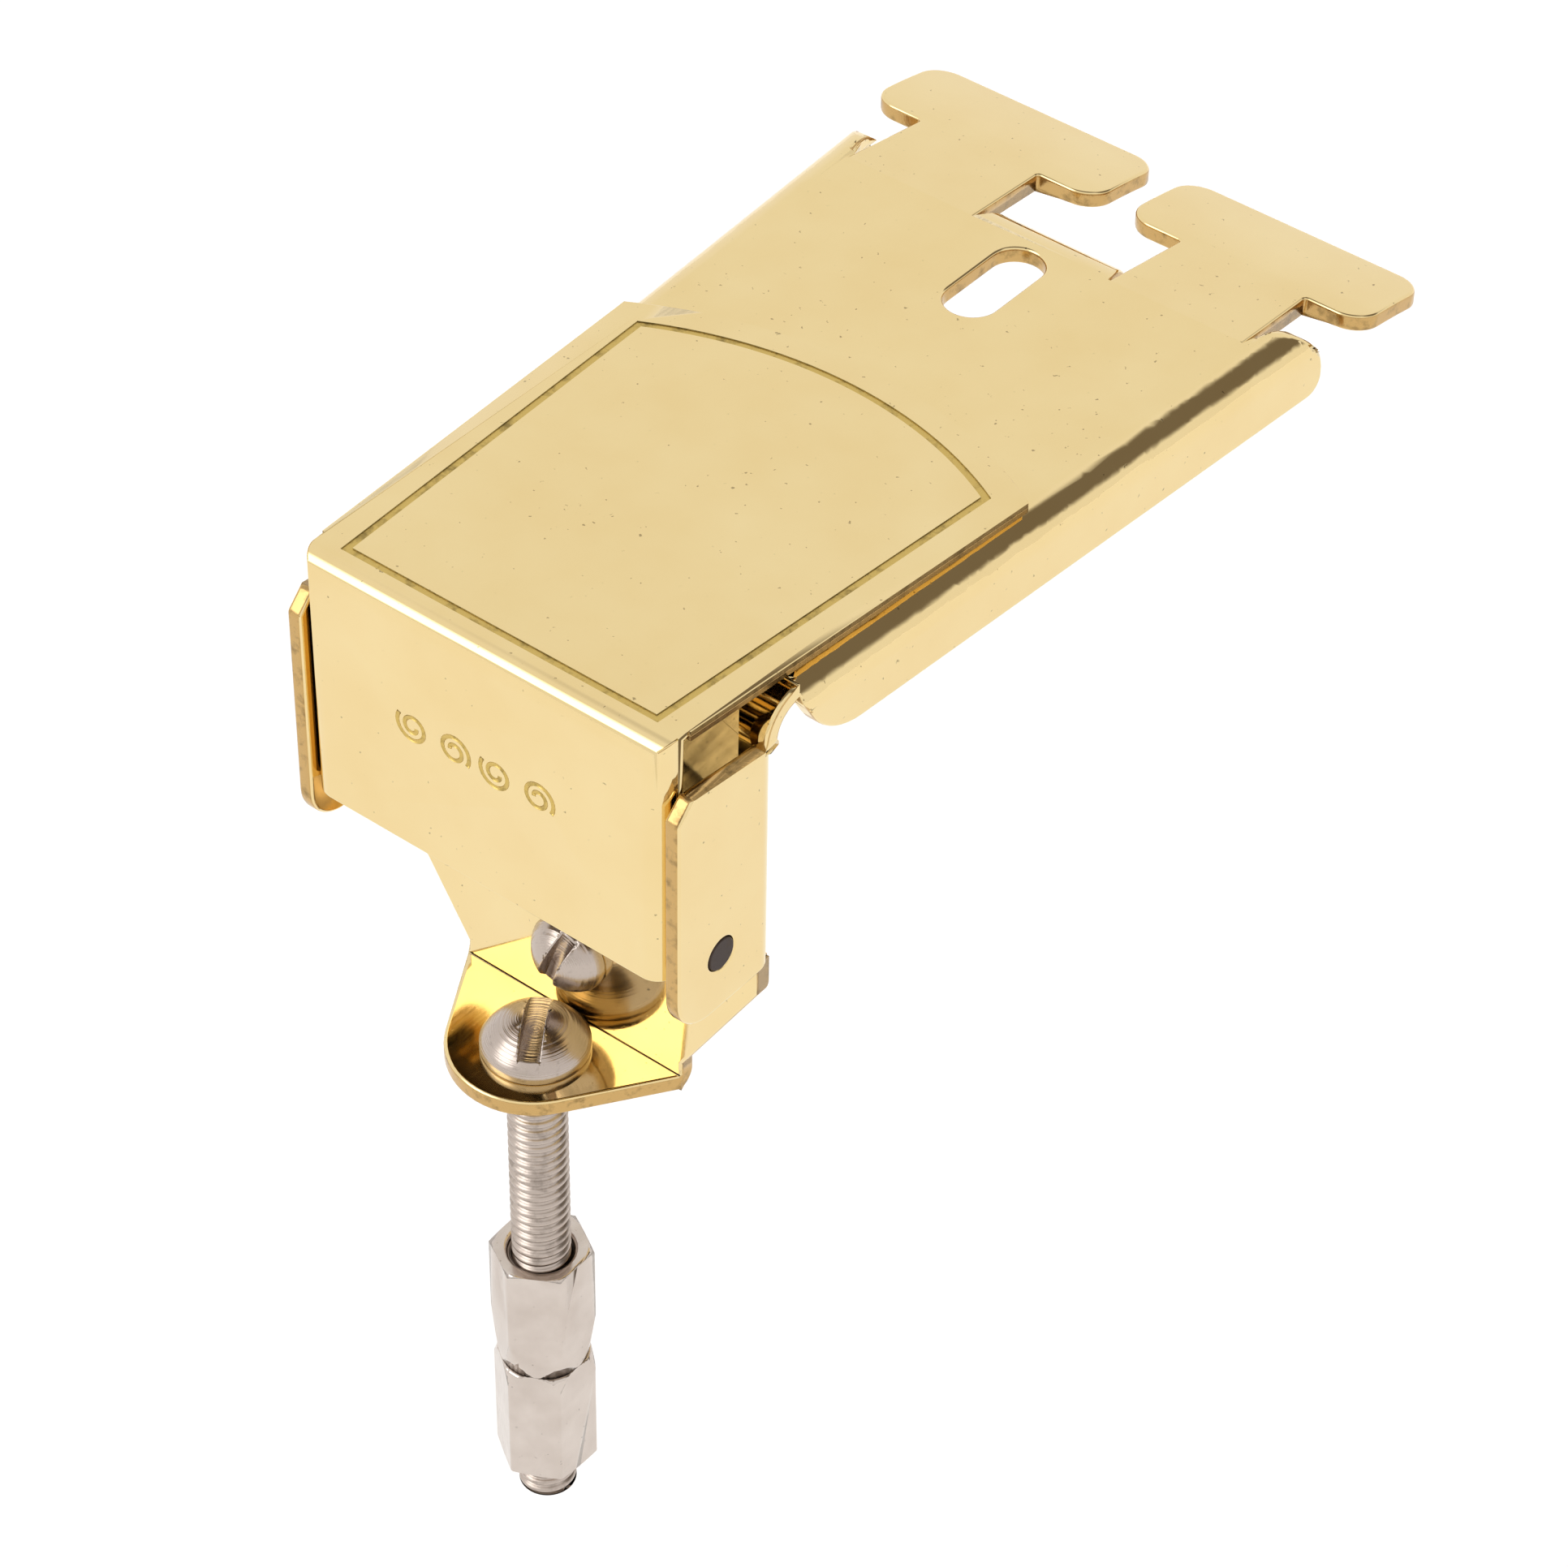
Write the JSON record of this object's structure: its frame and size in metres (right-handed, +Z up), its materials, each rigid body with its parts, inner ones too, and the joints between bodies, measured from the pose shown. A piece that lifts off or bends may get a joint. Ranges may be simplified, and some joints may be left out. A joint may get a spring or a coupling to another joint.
{
  "type": "banjo tailpiece",
  "caption": "Hinged-cover banjo tailpiece: stamped plate with T tongues, string hooks, adjusting screw, and a hanger bolt with nuts.",
  "frame": {"origin": "on the hanger bolt's axis, level with the underside of the rear tab that the rim bracket seats against", "axes": "+Z up along the hanger bolt, +Y along the strings towards the bridge, +X across the strings"},
  "size_m": [0.0414, 0.0745, 0.0806],
  "materials": {
    "polished_brass": "mirror polished, gold lacquer",
    "cover_brass": "mirror polished, gold lacquer",
    "pin_steel": "dull dark steel",
    "nickel_plate": "bright nickel plate",
    "bolt_nickel": "nickel plate over cut threads",
    "nut_nickel": "bright nickel plate"
  },
  "bodies": {
    "base": {"base_plate": "polished_brass", "hinge_pin": "pin_steel"},
    "cover": {"string_cover": "cover_brass"},
    "adjusting_screw": {"adjusting_screw": "nickel_plate"},
    "hanger_bolt": {"hanger_bolt": "bolt_nickel"},
    "upper_nut": {"upper_nut": "nut_nickel"},
    "lower_nut": {"lower_nut": "nut_nickel"}
  },
  "joints": [
    {"name": "cover_hinge", "type": "hinge", "parent": "base", "child": "cover", "pos_m": [0, -0.0002, 0.0196], "axis": [1, 0, 0], "range_deg": [0, 130]},
    {"name": "screw_travel", "type": "slide", "parent": "base", "child": "adjusting_screw", "axis": [0, 1, 0], "range_m": [-0.006, 0]},
    {"name": "bolt_turn", "type": "hinge", "parent": "base", "child": "hanger_bolt", "pos_m": [0, 0, 0], "axis": [0, 0, 1], "continuous": true},
    {"name": "upper_nut_travel", "type": "slide", "parent": "hanger_bolt", "child": "upper_nut", "axis": [0, 0, 1], "range_m": [0, 0.0165]},
    {"name": "lower_nut_travel", "type": "slide", "parent": "hanger_bolt", "child": "lower_nut", "axis": [0, 0, 1], "range_m": [-0.003, 0]}
  ]
}
